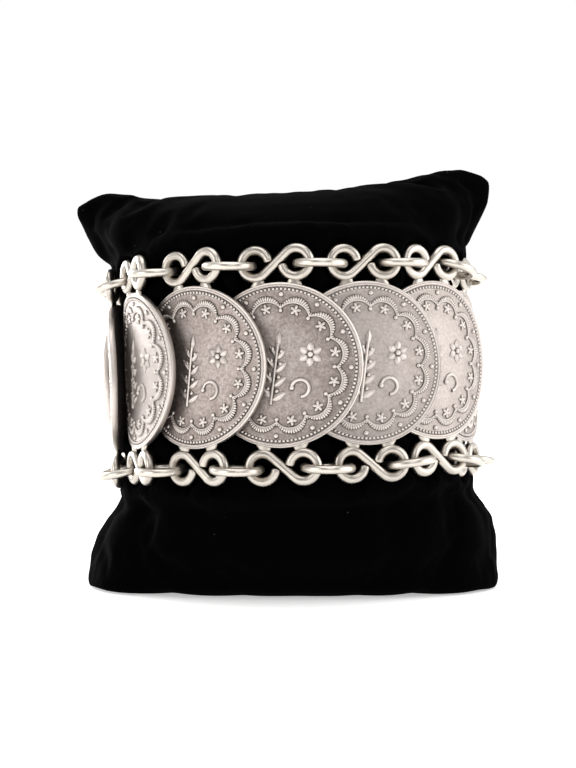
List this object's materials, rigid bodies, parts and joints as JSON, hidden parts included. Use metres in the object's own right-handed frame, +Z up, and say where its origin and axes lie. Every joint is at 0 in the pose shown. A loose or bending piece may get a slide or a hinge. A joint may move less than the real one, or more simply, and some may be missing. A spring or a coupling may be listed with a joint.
{
  "type": "coin bracelet on display pillow",
  "caption": "Closed bracelet of overlapping coins, joined above and below by scroll links and jump rings, round a plain black velvet display pillow.",
  "frame": {"origin": "on the surface the pillow stands on, below the middle of the whole object", "axes": "+Z up, the front of the bracelet faces -Y, +X to the right seen from the front"},
  "size_m": [0.0799, 0.0764, 0.0789],
  "materials": {
    "antique_silver": "cast, silver plated, dark in the recesses and rubbed bright on the raised parts",
    "polished_silver": "drawn wire, silver plated and polished",
    "velvet": "black cotton velvet with a short pile"
  },
  "bodies": {
    "root": {"pillow": "velvet", "clasp": "antique_silver", "coin_link_01": "antique_silver", "coin_link_02": "antique_silver", "coin_link_03": "antique_silver", "coin_link_04": "antique_silver", "coin_link_05": "antique_silver", "coin_link_06": "antique_silver", "coin_link_07": "antique_silver", "coin_link_08": "antique_silver", "coin_link_09": "antique_silver", "coin_link_10": "antique_silver", "coin_link_11": "antique_silver", "coin_link_12": "antique_silver", "coin_link_13": "antique_silver", "top_ring_01": "polished_silver", "top_ring_02": "polished_silver", "top_ring_03": "polished_silver", "top_ring_04": "polished_silver", "top_ring_05": "polished_silver", "top_ring_06": "polished_silver", "top_ring_07": "polished_silver", "top_ring_08": "polished_silver", "top_ring_09": "polished_silver", "top_ring_10": "polished_silver", "top_ring_11": "polished_silver", "top_ring_12": "polished_silver", "top_ring_13": "polished_silver", "top_ring_14": "polished_silver", "low_ring_01": "polished_silver", "low_ring_02": "polished_silver", "low_ring_03": "polished_silver", "low_ring_04": "polished_silver", "low_ring_05": "polished_silver", "low_ring_06": "polished_silver", "low_ring_07": "polished_silver", "low_ring_08": "polished_silver", "low_ring_09": "polished_silver", "low_ring_10": "polished_silver", "low_ring_11": "polished_silver", "low_ring_12": "polished_silver", "low_ring_13": "polished_silver", "low_ring_14": "polished_silver"}
  },
  "joints": []
}
